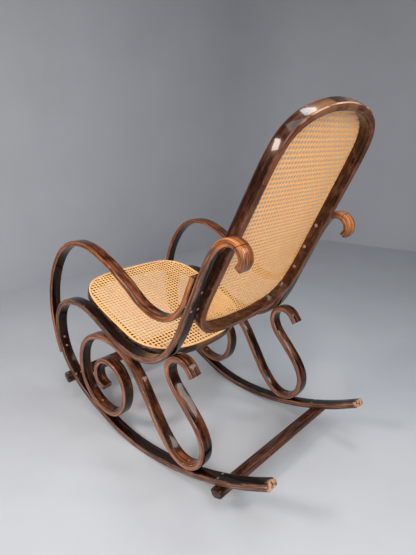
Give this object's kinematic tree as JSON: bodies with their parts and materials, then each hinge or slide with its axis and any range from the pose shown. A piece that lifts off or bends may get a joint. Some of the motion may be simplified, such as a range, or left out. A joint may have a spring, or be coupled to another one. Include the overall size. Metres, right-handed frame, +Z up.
{
  "type": "rocking chair",
  "caption": "Bentwood rocking chair with curled side frames on long runners, a woven cane seat and a tall reclined cane back.",
  "frame": {"origin": "on the floor, under the middle of the bounding box", "axes": "+Z up; the sitter faces -Y; +X is the sitter's left"},
  "size_m": [0.6206, 0.9956, 1.0619],
  "materials": {
    "wood_dark": "glossy dark walnut lacquer",
    "wood_arm": "glossy red-brown lacquer",
    "wood_scroll": "glossy red-brown lacquer",
    "wood_ring": "glossy dark walnut lacquer",
    "wood_stretcher": "worn dark lacquer",
    "cane": "satin woven rattan cane",
    "cane_binding": "satin rattan spline",
    "screw_metal": "dull, slightly brown"
  },
  "bodies": {
    "root": {"arm_bow_left": "wood_arm", "arm_bow_right": "wood_arm", "arm_front_screw_a_left": "screw_metal", "arm_front_screw_a_right": "screw_metal", "arm_front_screw_b_left": "screw_metal", "arm_front_screw_b_right": "screw_metal", "arm_rear_screw_a_left": "screw_metal", "arm_rear_screw_a_right": "screw_metal", "arm_rear_screw_b_left": "screw_metal", "arm_rear_screw_b_right": "screw_metal", "arm_rear_screw_c_left": "screw_metal", "arm_rear_screw_c_right": "screw_metal", "back_binding": "cane_binding", "back_cane": "cane", "back_frame": "wood_ring", "back_screw_a_left": "screw_metal", "back_screw_a_right": "screw_metal", "back_screw_b_left": "screw_metal", "back_screw_b_right": "screw_metal", "back_screw_c_left": "screw_metal", "back_screw_c_right": "screw_metal", "front_stretcher": "wood_stretcher", "front_stretcher_screw_a_left": "screw_metal", "front_stretcher_screw_a_right": "screw_metal", "front_stretcher_screw_b_left": "screw_metal", "front_stretcher_screw_b_right": "screw_metal", "main_bow_left": "wood_dark", "main_bow_right": "wood_dark", "rear_stretcher": "wood_stretcher", "rear_stretcher_screw_a_left": "screw_metal", "rear_stretcher_screw_a_right": "screw_metal", "rear_stretcher_screw_b_left": "screw_metal", "rear_stretcher_screw_b_right": "screw_metal", "scroll_bow_left": "wood_scroll", "scroll_bow_right": "wood_scroll", "scroll_front_screw_left": "screw_metal", "scroll_front_screw_right": "screw_metal", "scroll_hook_screw_left": "screw_metal", "scroll_hook_screw_right": "screw_metal", "scroll_rail_screw_left": "screw_metal", "scroll_rail_screw_right": "screw_metal", "scroll_rear_screw_left": "screw_metal", "scroll_rear_screw_right": "screw_metal", "seat_binding": "cane_binding", "seat_cane": "cane", "seat_frame": "wood_ring", "seat_screw_a_left": "screw_metal", "seat_screw_a_right": "screw_metal", "seat_screw_b_left": "screw_metal", "seat_screw_b_right": "screw_metal"}
  },
  "joints": []
}
